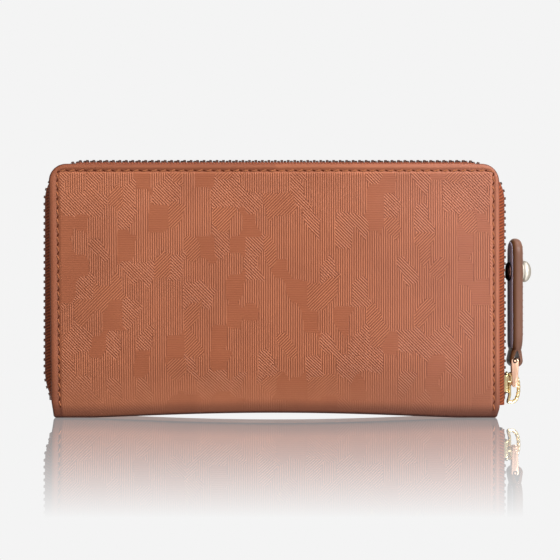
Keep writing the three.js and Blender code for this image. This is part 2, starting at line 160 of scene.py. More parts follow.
def lathe(name, profile, material, segments):
    """profile is a list of (radius, height), turned round the Z axis."""
    angles = np.linspace(0, 2 * math.pi, segments, endpoint=False)
    radius, height = np.array(profile).T[:, :, None]
    parts = radius * np.cos(angles), radius * np.sin(angles), np.repeat(height, segments, 1)
    points = np.stack(parts, axis=2)
    piece = add_grid(name, points, material, closed_columns=True)
    fix_normals(piece)
    return piece


def box_piece(name, low, high, material, edge):
    """A box with rounded edges."""
    corners = [(x, y, z) for x in (low[0], high[0]) for y in (low[1], high[1]) for z in (low[2], high[2])]
    faces = [(0, 1, 3, 2), (4, 6, 7, 5), (0, 4, 5, 1), (2, 3, 7, 6), (0, 2, 6, 4), (1, 5, 7, 3)]
    piece = add_mesh(name, corners, faces, material)
    fix_normals(piece)
    rounding = piece.modifiers.new("edges", "BEVEL")
    rounding.width, rounding.segments = edge, 3
    rounding.limit_method, rounding.angle_limit = "ANGLE", math.radians(35)
    return piece


def join(name, pieces):
    """One object out of several, with their modifiers applied."""
    depsgraph = bpy.context.evaluated_depsgraph_get()
    work = bmesh.new()
    materials = []
    for piece in pieces:
        mesh = bpy.data.meshes.new_from_object(piece.evaluated_get(depsgraph))
        mesh.transform(piece.matrix_world)
        material = piece.data.materials[0]
        if material not in materials:
            materials.append(material)
        for polygon in mesh.polygons:
            polygon.material_index = materials.index(material)
        work.from_mesh(mesh)
        bpy.data.meshes.remove(mesh)
        bpy.data.objects.remove(piece)
    whole = bpy.data.meshes.new(name)
    work.to_mesh(whole)
    work.free()
    for material in materials:
        whole.materials.append(material)
    joined = bpy.data.objects.new(name, whole)
    bpy.context.collection.objects.link(joined)
    return joined


def settle(piece, slot, body, *replaced):
    """Hides the CAD nodes a piece stands in for and attaches it to the body it moves with; slot is not
    used.
    """
    if replaced:
        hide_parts(*replaced)
    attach(piece, body)


# ---- Node helpers ----
def new_material(name, color, roughness, metallic=0.0, **sockets):
    material = bpy.data.materials.new(name)
    material.use_nodes = True
    shader = material.node_tree.nodes["Principled BSDF"]
    shader.inputs["Base Color"].default_value = (*linear(color), 1)
    shader.inputs["Roughness"].default_value = roughness
    shader.inputs["Metallic"].default_value = metallic
    for socket, value in sockets.items():
        shader.inputs[socket.replace("_", " ")].default_value = value
    return material, material.node_tree, shader


def linear(color):
    """Linear values of a colour given in sRGB steps of 0 to 255."""
    return [((c / 255 + 0.055) / 1.055) ** 2.4 if c > 10 else c / 255 / 12.92 for c in color]


def node(tree, kind, inputs=None, **settings):
    made = tree.nodes.new("ShaderNode" + kind)
    for key, value in settings.items():
        setattr(made, key, value)
    for key, value in (inputs or {}).items():
        if isinstance(value, bpy.types.NodeSocket):
            tree.links.new(value, made.inputs[key])
        else:
            made.inputs[key].default_value = value
    return made


def maths(operation, *values):
    """A math node in the tree of its first linked value."""
    tree = next(value.id_data for value in values if isinstance(value, bpy.types.NodeSocket))
    made = node(tree, "Math", dict(enumerate(values)), operation=operation)
    return made.outputs[0]


def plus(one, other):
    return maths("ADD", one, other)


def minus(one, other):
    return maths("SUBTRACT", one, other)


def times(one, other):
    return maths("MULTIPLY", one, other)


def divided(one, other):
    return maths("DIVIDE", one, other)


def folded(value):
    """Runs up and down between 0 and 0.5, once for each whole number."""
    return maths("PINGPONG", value, 0.5)


def mix_color(factor, one, other):
    """A mix of two colours, each a socket or three sRGB steps; factor is a socket."""
    made = node(factor.id_data, "Mix", {0: factor}, data_type="RGBA")
    for index, value in ((6, one), (7, other)):
        if isinstance(value, bpy.types.NodeSocket):
            factor.id_data.links.new(value, made.inputs[index])
        else:
            made.inputs[index].default_value = (*linear(value), 1)
    return made.outputs[2]


def noise(tree, scale, detail, roughness=0.5):
    place = node(tree, "TexCoord").outputs["Object"]
    inputs = {"Vector": place, "Scale": scale, "Detail": detail, "Roughness": roughness}
    return node(tree, "TexNoise", inputs).outputs["Fac"]


def remap(value, low, high, to_low=0.0, to_high=1.0, **settings):
    inputs = {"Value": value, "From Min": low, "From Max": high, "To Min": to_low, "To Max": to_high}
    return node(value.id_data, "MapRange", inputs, **settings).outputs["Result"]


def attribute(tree, name):
    return node(tree, "Attribute", attribute_name=name, attribute_type="GEOMETRY").outputs["Fac"]


def bump(shader, height, distance, strength, under=None):
    inputs = {"Height": height, "Distance": distance, "Strength": strength}
    if under:
        inputs["Normal"] = under
    normal = node(shader.id_data, "Bump", inputs).outputs["Normal"]
    shader.id_data.links.new(normal, shader.inputs["Normal"])
    return normal


def pores(tree, scale):
    """The small cells of leather's grain, low in the creases between them."""
    place = node(tree, "TexCoord").outputs["Object"]
    inputs = {"Vector": place, "Scale": scale, "Randomness": 1.0}
    cells = node(tree, "TexVoronoi", inputs, feature="DISTANCE_TO_EDGE")
    return remap(cells.outputs["Distance"], 0.0, 0.12)


def embossed_lines(tree):
    """Fine parallel lines: most upright, and in scattered angular patches level or at 45 degrees.

    Gives the ridge between the grooves, 0 to 1, and how far the place is in a patch of level lines.
    """
    s, t = (divided(attribute(tree, name), LINE_PITCH) for name in ("across", "along"))
    cell = node(tree, "CombineXYZ", {"X": divided(s, CELL_LINES[0]), "Y": divided(t, CELL_LINES[1])})
    inputs = {"Vector": cell.outputs[0], "Scale": 1.0, "Randomness": 0.85}
    cells = node(tree, "TexVoronoi", inputs, voronoi_dimensions="2D", distance="CHEBYCHEV")
    draw = node(tree, "SeparateColor", {"Color": cells.outputs["Color"]}).outputs[0]
    slope = math.sqrt(0.5)
    # Each kind of patch begins at a share of the draw: how the lines count across and along, and if level.
    kinds = ((0.52, 0.0, 1.0, 1.0), (0.65, slope, slope, 0.0), (0.89, slope, -slope, 0.0))
    values = [1.0, 0.0, 0.0]
    for low, *kind in kinds:
        chosen = maths("GREATER_THAN", draw, low)
        for index, value in enumerate(kind):
            inputs = {"Factor": chosen, "A": values[index], "B": value}
            values[index] = node(tree, "Mix", inputs).outputs[0]
    count_s, count_t, level = values
    wave = folded(plus(times(s, count_s), times(t, count_t)))
    ridge = remap(wave, 0.08, 0.42, interpolation_type="SMOOTHSTEP")
    # Level lines are pressed less deep.
    deep = minus(1.0, times(level, 0.8))
    return minus(1.0, times(minus(1.0, ridge), deep)), level


# ---- Materials ----
def leather(name, color, dark, roughness, grain, lines=False, band=None):
    material, tree, shader = new_material(name, color, roughness, Specular_IOR_Level=0.28)
    mottle = remap(noise(tree, 55.0, 4.0, 0.6), 0.35, 0.7)
    tone = mix_color(times(mottle, 0.25), color, dark)
    fine = remap(noise(tree, 1400.0, 3.0, 0.6), 0.55, 0.8)
    tone = mix_color(times(fine, 0.2), tone, dark)
    normal = bump(shader, pores(tree, grain), 0.02 * MM, 0.6)
    if lines:
        ridge, level = embossed_lines(tree)
        shown = attribute(tree, "emboss")
        tone = mix_color(times(times(level, shown), 0.62), tone, LEVEL_TONE)
        # Painted shade: the embossed grooves are darkened, and the embossed panel a little overall.
        groove = times(minus(1.0, ridge), shown)
        shade = plus(times(groove, 0.72), times(shown, 0.17))
        # Painted shade along the border, the stitch channel and the turned edge.
        tone = mix_color(plus(shade, times(attribute(tree, "painted_border_shade"), 0.5)), tone, dark)
        # Painted sheen: the right end is mixed towards a paler, pinker tone, standing in for the key
        # light's sheen there.
        tone = mix_color(attribute(tree, "painted_sheen"), tone, PAINTED_SHEEN_TONE)
        # Painted shade: darker towards the foot, along the lowest rim and round the outline of the top
        # corners.
        tone = mix_color(attribute(tree, "wear_and_shade"), tone, PAINTED_SHADE_TONE)
        bump(shader, times(ridge, shown), LINE_DEPTH, 1.0, normal)
    # Painted shade: the band darkens the tone where its attribute says.
    if band:
        tone = mix_color(attribute(tree, "band"), tone, band)
    tree.links.new(tone, shader.inputs["Base Color"])
    rough = remap(noise(tree, 260.0, 3.0), 0.3, 0.7, roughness - 0.06, roughness + 0.08)
    tree.links.new(rough, shader.inputs["Roughness"])
    return material


def woven(name, color, dark, roughness, weave, low, high, cloud, depth, strength):
    """A cloth with the height that weave makes in its tree, dark in the gaps between its threads."""
    material, tree, shader = new_material(name, color, roughness, Specular_IOR_Level=0.2)
    height = weave(tree)
    tone = mix_color(remap(height, low, high), dark, color)
    tone = mix_color(times(noise(tree, cloud, 4.0), 0.3), tone, dark)
    tree.links.new(tone, shader.inputs["Base Color"])
    bump(shader, height, depth, strength)
    return material


def twill(name, color, dark, pitch):
    """Its ribs cross the cloth at a slant. Two attributes hold the cloth's directions, in metres."""

    def weave(tree):
        u, v = (divided(attribute(tree, way), pitch) for way in ("along", "across"))
        return plus(folded(plus(u, times(v, 0.3))), times(folded(times(v, 2.0)), 0.15))

    return woven(name, color, dark, 0.85, weave, 0.1, 0.5, 900.0, 0.06 * MM, 0.7)


def lining(name, color, dark, pitch=0.5 * MM):
    """A woven lining whose threads run with the object's own axes."""

    def weave(tree):
        place = node(tree, "SeparateXYZ", {"Vector": node(tree, "TexCoord").outputs["Object"]})
        x, y, z = (divided(place.outputs[axis], pitch) for axis in "XYZ")
        return plus(folded(plus(x, z)), times(folded(minus(plus(x, y), z)), 0.6))

    return woven(name, color, dark, 0.9, weave, 0.1, 0.7, 300.0, 0.05 * MM, 0.6)


def metal(name, color, dark, roughness, wear_and_shade=0.15):
    material, tree, shader = new_material(name, color, roughness, 1.0)
    wear = remap(noise(tree, 700.0, 4.0, 0.6), 0.4, 0.75)
    tree.links.new(mix_color(times(wear, wear_and_shade), color, dark), shader.inputs["Base Color"])
    grain = noise(tree, 900.0, 2.0)
    rough = remap(grain, 0.3, 0.7, roughness - 0.03, roughness + 0.05)
    tree.links.new(rough, shader.inputs["Roughness"])
    bump(shader, grain, 0.008 * MM * wear_and_shade, 0.3)
    shader.inputs["Specular Tint"].default_value = (*linear(dark), 1)
    return material


def thread(name, color, dark):
    """Twisted thread: the strands wind round it, counted by its two attributes."""
    material, tree, shader = new_material(name, color, 0.7, Specular_IOR_Level=0.3)
    strand = folded(plus(attribute(tree, "turn"), attribute(tree, "length")))
    tree.links.new(mix_color(remap(strand, 0.0, 0.35), dark, color), shader.inputs["Base Color"])
    bump(shader, strand, 0.08 * MM, 0.7)
    return material


LINE_DEPTH = 0.14 * MM  # of the embossing
LEVEL_TONE = (132, 65, 34)  # patches of level lines
PAINTED_SHEEN_TONE = (188, 128, 114)  # painted sheen: the paler, pinker right end
PAINTED_SHADE_TONE = (62, 24, 12)  # painted shade at the foot of the covers, their lowest rim and their top corners
COVER_LEATHER = leather("cover_leather", (197, 120, 83), (116, 58, 34), 0.57, 900.0, lines=True)
# Painted shade: the dark of the stitch holes, laid on as flat lenses.
PIT = new_material("pit", (86, 40, 22), 0.9, Specular_IOR_Level=0.05)[0]
# Painted shade: the black in the recesses round the link's pin ends.
BLACK_PIT = new_material("black_pit", (30, 22, 20), 0.9, Specular_IOR_Level=0.05)[0]
INNER_LEATHER = leather("inner_leather", (164, 104, 78), (118, 68, 48), 0.5, 1100.0)
# Its band is painted shade on the inner layer's rounded edge next to the lining.
PULL_LEATHER = leather("pull_leather", (115, 78, 62), (76, 46, 33), 0.42, 1000.0, band=(92, 58, 32))
THREAD_TAN = thread("thread_tan", (182, 110, 68), (112, 60, 36))
THREAD_PULL = thread("thread_pull", (150, 108, 84), (96, 64, 48))
TAPE = twill("zip_tape", (164, 84, 49), (96, 44, 27), 1.3 * MM)
LINING = lining("lining_cloth", (92, 68, 55), (62, 44, 36))
GREY_LINING = lining("grey_lining", (226, 228, 248), (182, 184, 210), 0.7 * MM)
BOARD = lining("board", (181, 156, 122), (150, 126, 96), 0.9 * MM)
NICKEL = metal("zip_metal", (104, 82, 76), (50, 36, 32), 0.3)
GOLD = metal("pale_gold", (224, 203, 158), (150, 120, 74), 0.18)
ROSE_GOLD = metal("rose_gold", (210, 170, 146), (176, 130, 106), 0.38)
CREAM_GOLD = metal("cream_gold", (190, 184, 174), (150, 140, 112), 0.5, 0.02)
# Painted reflection: the stud's gold back, darkened to stand for the dark leather it mirrors.
DARK_REFLECTION_METAL = metal("dark_metal", (58, 38, 34), (28, 20, 20), 0.4)


# ---- The outer hide: one leather over both covers and the spine, drawn flat and then bent ----
BEND_END = FLAT + math.pi / 2 * FOLD  # arc length from the spine's middle to the end of the fold
SHEET = BEND_END + TOP - FOLD  # arc length from the spine's middle to the cover's top edge


def smooth(x, low, high):
    t = np.clip((np.asarray(x, float) - low) / (high - low), 0, 1)
    return t * t * (3 - 2 * t)


def swell(x, width):
    """A bell about 0."""
    return np.exp(-((x / width) ** 2))


def arch(s):
    return ARCH * np.clip(1 - (np.asarray(s, float) / ARCH_HALF) ** 2, 0, 1) ** 1.3


def bend(side, s, t, n):
    """Bends the flat sheet: s along the spine, t from its middle up the cover, n out of its face."""
    s, t, n = np.broadcast_arrays(*(np.asarray(v, float) for v in (s, t, n)))
    angle = np.clip((t - FLAT) / FOLD, 0, math.pi / 2)
    y = np.minimum(t, FLAT) + (FOLD + n) * np.sin(angle)
    z = FOLD - (FOLD + n) * np.cos(angle) + np.maximum(t - BEND_END, 0)
    left = 1.003 - 0.012 * (1 - z / TOP) - 0.010 * (1 - smooth(z, 0, 9 * MM))
    right = 0.996 + 0.003 * (1 - z / TOP) - 0.011 * (1 - smooth(z, 0, 5 * MM))
    taper = np.where(s < 0, left, right)
    lift = arch(s) * (1 - smooth(z, 0, ARCH_HIGH))
    return np.stack([s * taper, side * y, z + lift], axis=-1)


def turned_edge(u):
    """Inset from the outline, and height over the face, at unrolled inset u over the rounded edge."""
    angle = np.clip((EDGE - u) / EDGE, 0, math.pi)
    flap = np.maximum(EDGE - math.pi * EDGE - u, 0)
    inset = np.where(u < EDGE, EDGE - EDGE * np.sin(angle) + flap, u)
    return inset, EDGE * (np.cos(angle) - 1)


def rounded_depth(a, b, radius):
    """Distance in from an outline with a rounded corner, from the distances to its two sides."""
    p, q = radius - a, radius - b
    return np.where((p > 0) & (q > 0), radius - np.hypot(p, q), np.minimum(a, b))


def sewn_depth(s, us, ut):
    """Distance in from the stitch line, less than 0 outside it."""
    return rounded_depth(us - np.where(s > 0, IN_RIGHT, IN_LEFT), ut - IN_TOP, STITCH_CORNER)


def relief(s, us, ut):
    """The face's own swell: a lip along the edge, the channel of the stitches and the padded panel."""
    high = SHEET - ut - BEND_END
    lip = 0.2 * MM * swell(rounded_depth(us, ut, CORNER) - 1.4 * MM, 0.6 * MM)
    channel = 0.42 * MM * swell(sewn_depth(s, us, ut), 0.7 * MM)
    crown = 0.8 * MM * smooth(us, 4 * MM, 30 * MM) * smooth(ut, 4 * MM, 30 * MM)
    return (lip - channel) * smooth(high, 0.5 * MM, 9 * MM) + crown * smooth(high, 0, 30 * MM)


def edge_stations():
    """Unrolled insets from the hidden end of the turned edge to where the plain panel begins."""
    start = EDGE - math.pi * EDGE
    hidden = [start - TURNED, start - TURNED / 2]
    shown = np.arange(EDGE + 0.45 * MM, 5.4 * MM, 0.42 * MM)
    return np.concatenate([hidden, np.linspace(start, EDGE, 11), shown])


def hide(side, name):
    edge = edge_stations()
    reach = edge[-1]
    across = np.arange(reach, 2 * HALF - reach - 0.5 * MM, 1.0 * MM)
    us_left = np.concatenate([edge, across[1:], (2 * HALF - edge)[::-1]])
    below = [np.linspace(0, FLAT, 6)[:-1], np.linspace(FLAT, BEND_END, 9)[:-1]]
    above = [np.arange(BEND_END, SHEET - reach - 0.5 * MM, 1.0 * MM), (SHEET - edge)[::-1]]
    rows = np.concatenate(below + above)
    left, t = np.meshgrid(us_left, rows)
    us = np.minimum(left, 2 * HALF - left)
    sign = np.where(left < HALF, -1.0, 1.0)
    ut = SHEET - t
    u = np.minimum(us, ut)
    inset, low = turned_edge(u)
    # In the corner square the sheet's rings become arcs about one centre; elsewhere they follow the sides.
    ps, pt = CORNER - us, CORNER - ut
    corner = (ps > 0) & (pt > 0)
    length = np.where(corner, np.hypot(ps, pt), 1)
    inset_s = np.where(corner, CORNER - ps / length * (CORNER - inset), np.where(us <= ut, inset, us))
    inset_t = np.where(corner, CORNER - pt / length * (CORNER - inset), np.where(us > ut, inset, ut))
    s, t = sign * (HALF - inset_s), SHEET - inset_t
    points = bend(side, s, t, low + np.where(u > EDGE, relief(s, inset_s, inset_t), 0))
    piece = add_grid(f"{name}_hide", points, COVER_LEATHER)
    if side > 0:
        piece.data.flip_normals()
    set_attribute(piece, "across", s + (BACK_SHIFT if side > 0 else 0.0))
    set_attribute(piece, "along", t)
    high = t - BEND_END
    inside = sewn_depth(s, inset_s, inset_t)
    # Painted shade: darker in the stitch channel, over the border outside the stitches, more on the left
    # away from the key light, and towards the turned edge.
    border = np.where(s > 0, 1.05, 1.4) * (1 - smooth(inside, 0.3 * MM, 1.1 * MM))
    rim = 0.5 * smooth(1.2 * MM - u, 0, 1.4 * MM)
    set_attribute(piece, "painted_border_shade", 0.6 * swell(inside, 0.5 * MM) + border + rim)
    # Painted sheen, rising towards the right end where the key light's sheen falls.
    set_attribute(piece, "painted_sheen", 0.19 * smooth(s, 0.1 * HALF, 0.95 * HALF))
    # Painted shade: darker towards the foot of the cover, more so towards the right, along its lowest rim
    # and round the outline of its top corners.
    foot = (0.34 + 0.14 * smooth(s, 0, HALF)) * (1 - smooth(high, 0, 27 * MM))
    foot = foot + 0.42 * (1 - smooth(high, 0, 5.5 * MM))
    low_edge = 0.3 * swell(high + 1.5 * MM, 0.55 * MM)
    near_corner = (1 - smooth(us, 6 * MM, 14 * MM)) * (1 - smooth(ut, 6 * MM, 14 * MM))
    outline = 0.65 * near_corner * smooth(0.7 * MM - u, 0, 0.6 * MM)
    set_attribute(piece, "wear_and_shade", foot * smooth(t, FLAT, FLAT + 1 * MM) + low_edge + outline)
    # The embossing stops at the stitches, is worn off at the foot and is a little deeper at the right.
    shown = smooth(inside, 0.6 * MM, 1.3 * MM) * (0.15 + 0.85 * smooth(t, FLAT, BEND_END + 22 * MM))
    set_attribute(piece, "emboss", shown * (1.0 + 0.1 * s / HALF))
    return piece


def fold_over(piece):
    """Bakes a piece's placement into its mesh; the hide and its stitches are already bent round the fold
    when drawn.
    """
    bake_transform(piece)


# ---- Stitching ----
def rounded_line(left, right, top, radius, bottom_left, bottom_right, step=0.2 * MM):
    """Points up the left side, over the top and down the right side, as rows of s and t."""
    up = np.arange(bottom_left, top - radius, step)
    over = np.arange(left + radius, right - radius, step)
    down = np.arange(bottom_right, top - radius, step)[::-1]
    turn = np.linspace(0, math.pi / 2, max(4, int(radius * math.pi / 2 / step)))
    c, d = radius * np.cos(turn), radius * np.sin(turn)
    s = [np.full_like(up, left), left + radius - c, over, right - radius + d, np.full_like(down, right)]
    t = [up, top - radius + d, np.full_like(over, top), top - radius + c, down]
    return np.stack([np.concatenate(s), np.concatenate(t)], 1)


class Line:
    """A polyline that gives the point and the direction at any length along it."""

    def __init__(self, points):
        keep = np.concatenate([[True], np.linalg.norm(np.diff(points, axis=0), axis=1) > 1e-7])
        self.points = points[keep]
        steps = np.linalg.norm(np.diff(self.points, axis=0), axis=1)
        self.lengths = np.concatenate([[0], np.cumsum(steps)])
        self.total = self.lengths[-1]

    def at(self, length):
        return np.stack([np.interp(length, self.lengths, c) for c in self.points.T], axis=-1)

    def along(self, length, reach=0.4 * MM):
        step = self.at(np.asarray(length) + reach) - self.at(np.asarray(length) - reach)
        return step / np.linalg.norm(step, axis=-1, keepdims=True)

    def beside(self, length, sideways, reach=0.4 * MM):
        """Both places of a point that lies off the line, to the left of its direction."""
        point, ahead = self.at(length), self.along(length, reach)
        return point[..., 0] - ahead[..., 1] * sideways, point[..., 1] + ahead[..., 0] * sideways


def share_out(line, pitch):
    """How many stitches a line holds, and what is left over at each end."""
    count = int(line.total / pitch)
    return count, (line.total - count * pitch) / 2


def stitches(name, line, place, material, pitch, radius, slant, sink=0.0):
    """All the stitches on a line in one mesh; place turns (along, sideways, up) into a point."""
    count, spare = share_out(line, pitch)
    rings, sides = 7, 6
    k, i, j = np.meshgrid(range(count), range(rings), range(sides), indexing="ij")
    q = i / (rings - 1)
    rise = np.sin(math.pi * q) ** 0.6
    where = spare + (k + 0.16 + 0.68 * q) * pitch
    size = radius * (0.62 + 0.38 * rise)
    angle = 2 * math.pi * j / sides
    sideways = slant * (2 * q - 1) + size * np.cos(angle)
    up = radius * (1.5 * rise - 1.1) - sink + size * np.sin(angle)
    last = (rings - 1) * sides
    shell = grid_faces(rings, sides, closed_columns=True)
    shell += [tuple(range(sides)), tuple(range(last + sides - 1, last - 1, -1))]
    firsts = range(0, k.size, rings * sides)
    faces = [tuple(first + corner for corner in face) for first in firsts for face in shell]
    piece = add_mesh(name, place(where.ravel(), sideways.ravel(), up.ravel()), faces, material)
    set_attribute(piece, "turn", j / sides * 2)
    set_attribute(piece, "length", q * pitch * 0.68 / (0.55 * MM))
    fix_normals(piece)
    return piece


def holes(name, line, place):
    """The slanted slit at each end of a stitch, as a thin dark lens that lies in the channel: painted shade
    for the hole.
    """
    count, spare = share_out(line, STITCH_PITCH)
    long, wide, slant = 1.5 * MM, 0.6 * MM, 0.4
    k, j = np.meshgrid(range(count + 1), range(10), indexing="ij")
    centre = np.clip(spare + k * STITCH_PITCH, long, line.total - long)
    a, b = long / 2 * np.cos(2 * math.pi * j / 10), wide / 2 * np.sin(2 * math.pi * j / 10)
    c, d = math.cos(slant), math.sin(slant)
    points = place((centre + a * c - b * d).ravel(), (-a * d - b * c).ravel(), 0.09 * MM)
    return add_mesh(name, points, np.arange(k.size).reshape(k.shape).tolist(), PIT)


def cover_stitches(side, name):
    starts = BEND_END + 2.0 * MM, BEND_END + 0.6 * MM
    line = Line(rounded_line(IN_LEFT - HALF, HALF - IN_RIGHT, SHEET - IN_TOP, STITCH_CORNER, *starts))

    def place(where, sideways, up):
        s, t = line.beside(where, sideways)
        return bend(side, s, t, up + relief(s, HALF - np.abs(s), SHEET - t))

    sewn = stitches(f"{name}_stitches", line, place, THREAD_TAN, STITCH_PITCH, THREAD, 0.35 * MM)
    slits = holes(f"{name}_stitch_holes", line, place)
    if side < 0:
        slits.data.flip_normals()
    return sewn, slits


# ---- The zip: tapes and teeth ----
TIP_OUT = TIP - HALF  # the teeth's reach beyond the cover's side
ZIP_DROP = TOP + TIP_OUT - TIP_TOP  # how much lower the zip lies over the top than at the sides
ZIP_CORNER = 17.5 * MM - TIP_OUT  # corner radius of the zip's line level with the cover's edge
TOOTH_PITCH = 2.8 * MM
TUCK = 3.0 * MM  # how far the zip's blind end is drawn in under the cover
TUCK_LOW, TUCK_HIGH = 8.5 * MM, 20 * MM


def zip_line(*bottoms):
    points = rounded_line(-HALF, HALF, TOP - ZIP_DROP, ZIP_CORNER, *bottoms, 0.5 * MM)
    drawn_in = np.clip((TUCK_HIGH - points[:, 1]) / (TUCK_HIGH - TUCK_LOW), 0, 1.2) ** 2
    points[:, 0] += np.where(points[:, 0] < 0, TUCK * drawn_in, 0)
    return Line(points)


def tape(side, name):
    line = zip_line(6.0 * MM, 5.3 * MM)
    # Across the tape: from its sewn edge under the cover to the edge that holds the teeth.
    across = [[-1.9, 10.35], [-0.5, 9.9], [0.6, 9.1], [1.4, 8.0], [1.95, 6.6], [2.25, 5.0], [2.35, 3.35]]
    across = np.array(across) * MM
    length = np.concatenate([[0], np.cumsum(np.linalg.norm(np.diff(across, axis=0), axis=1))])
    slope = np.gradient(across, axis=0)
    normal = np.stack([slope[:, 1], -slope[:, 0]], 1) / np.linalg.norm(slope, axis=1)[:, None]
    half = 0.28 * MM
    ring = np.concatenate([across + normal * half, (across - normal * half)[::-1]])
    where = np.linspace(0, line.total, 420)
    level = line.along(where, 1.0 * MM)[:, :1]
    out = ring[None, :, 0] * (1 - 0.12 * level**2)  # it stands out less on top
    x, z = line.beside(where[:, None], out, 1.0 * MM)
    points = np.stack(np.broadcast_arrays(x, side * ring[None, :, 1], z), axis=-1)
    piece = add_grid(f"{name}_tape", points, TAPE, closed_columns=True)
    set_attribute(piece, "along", np.repeat(where, len(ring)))
    set_attribute(piece, "across", np.tile(np.concatenate([length, length[::-1]]), len(where)))
    return sharp_edges(filled(piece), 50)


def tooth_shape():
    """One tooth at the origin: X along the zip, Y from its head to its root, Z out of the loop."""
    work = bmesh.new()
    rows = [(-0.95, 0.42, 0.72), (-0.2, 0.58, 0.86), (1.2, 0.58, 0.9), (1.5, 0.6, 1.05), (3.35, 0.6, 1.1)]
    rings = []
    for y, half_long, half_high in rows:
        around = (-1, -1), (1, -1), (1, 1), (-1, 1)
        corners = [Vector((a * half_long, y, 2.25 + b * half_high)) for a, b in around]
        rings.append([work.verts.new(corner * MM) for corner in corners])
    for one, other in zip(rings, rings[1:]):
        for i in range(4):
            work.faces.new((one[i], one[(i + 1) % 4], other[(i + 1) % 4], other[i]))
    work.faces.new(rings[0][::-1])
    work.faces.new(rings[-1])
    bmesh.ops.recalc_face_normals(work, faces=work.faces)
    bmesh.ops.bevel(work, geom=work.edges[:], offset=0.16 * MM, segments=1, affect="EDGES")
    points = np.array([v.co for v in work.verts])
    work.verts.index_update()
    faces = [tuple(v.index for v in f.verts) for f in work.faces]
    work.free()
    return points, faces


def teeth(side, name):
    line = zip_line(9.6 * MM, 9.6 * MM)
    shape, shape_faces = tooth_shape()
    first = TOOTH_PITCH * (0.5 if side < 0 else 1.0)
    points, faces = [], []
    for where in np.arange(first, line.total - 0.4 * MM, TOOTH_PITCH):
        middle, ahead = line.at(where), line.along(where, 1.5 * MM)
        start = len(points)
        for x, y, z in shape:
            spot = middle + ahead * x + np.array([-ahead[1], ahead[0]]) * z
            points.append((spot[0], side * y, spot[1]))
        faces += [tuple(start + i for i in face) for face in shape_faces]
    piece = add_mesh(f"{name}_teeth", points, faces, NICKEL)
    fix_normals(piece)
    return sharp_edges(piece, 28)


def stops(side, name):
    """The clips at both ends of one side of the zip."""
    for line_end, label, y_low in ((-1, "bottom", 0.15 * MM), (1, "top", 0.9 * MM)):
        low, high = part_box(f"{name}_{label}_stop")
        inward = TUCK * 0.75 if line_end < 0 else 0
        near, far = sorted((side * y_low, side * 3.1 * MM))
        bottom, top = (low.x + inward, near, low.z), (high.x + inward, far, high.z)
        clip = box_piece(f"{name}_{label}_clip", bottom, top, NICKEL, 0.35 * MM)
        settle(clip, "zip_metal", f"{name}_cover", f"{name}_{label}_stop")


# ---- Slider ----
def slider():
    low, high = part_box("slider_body")
    middle, half_tall = (low.z + high.z) / 2, (high.z - low.z) / 2
    inner, outer = HALF + 0.5 * MM, TIP + 0.62 * MM
    pieces = []
    for x, half_wide, thick, label in ((inner, 3.1, 0.7, "inner"), (outer, 3.95, 0.8, "outer")):
        # Seen along X a plate is wide at its nose, waisted, and rounded at both ends.
        angles = np.linspace(0, 2 * math.pi, 40, endpoint=False)
        c, s = np.cos(angles), np.sin(angles)
        rows = []
        for grow, lift in ((-0.35, -1.0), (0, -0.55), (0, 0.4), (-0.3, 0.85), (-1.3, 1.0)):
            wide = (half_wide - 0.45 * (1 + s) + grow) * np.copysign(np.abs(c) ** 0.5, c) * MM
            tall = (half_tall / MM + grow) * np.copysign(np.abs(s) ** 0.6, s) * MM
            rows.append(np.stack([np.full(40, x + lift * thick / 2 * MM), wide, middle + tall], 1))
        plate = add_grid(f"slider_{label}", np.array(rows), GOLD, closed_columns=True)
        pieces.append(sharp_edges(filled(plate), 40))
    bottom, top = (inner, -0.65 * MM, low.z + 0.6 * MM), (outer, 0.65 * MM, low.z + 2.8 * MM)
    pieces.append(box_piece("slider_post", bottom, top, GOLD, 0.2 * MM))
    # A flange on each side of the outer plate reaches in over the teeth.
    for side in (-1, 1):
        near, far = sorted((side * 3.4 * MM, side * 3.95 * MM))
        bottom, top = (TIP - 1.3 * MM, near, low.z + 0.9 * MM), (outer, far, high.z - 1.6 * MM)
        pieces.append(box_piece(f"slider_flange_{side}", bottom, top, GOLD, 0.22 * MM))
    # The eye: a band that rises from the plate, goes round the ring's bar and comes back down.
    around = 1.25 * MM
    turn = np.linspace(-math.pi / 2, math.pi / 2, 13)
    band = [(BAR.x + around * math.cos(angle), around * math.sin(angle)) for angle in turn]
    band = [(outer, -around)] + band + [(outer, around)]
    path = np.array([(x, y, 16.15 * MM) for x, y in band])
    ahead = np.gradient(path, axis=0)
    side = np.stack([ahead[:, 1], -ahead[:, 0], np.zeros(len(path))], 1)
    side /= np.linalg.norm(side, axis=1)[:, None]
    section = [(-0.32, -1.1), (0.1, -1.3), (0.34, -1.0), (0.34, 1.0), (0.1, 1.3), (-0.32, 1.1)]
    rings = np.array([[out * a * MM + np.array([0, 0, b * MM]) for a, b in section] for out in side])
    pieces.append(sharp_edges(sweep("slider_eye", path, rings, GOLD), 35))
    return join("slider", pieces)


# ---- What hangs on the slider's eye, drawn straight and then turned on the ring's bar ----
AT_BAR = Matrix.Translation((BAR.x, BAR.y, 0))
TURN = AT_BAR @ Matrix.Rotation(math.radians(8), 4, "Z") @ AT_BAR.inverted()
LINK_FOOT = Vector(joints["link_pivot"]["pos_m"])
LINK_HEAD = Vector(joints["pull_pivot"]["pos_m"])
LINK_AXIS = Vector(joints["link_pivot"]["axis"])
LINK_HIGH = TURN.inverted() @ LINK_HEAD


def turned(piece):
    piece.data.transform(TURN)
    return piece


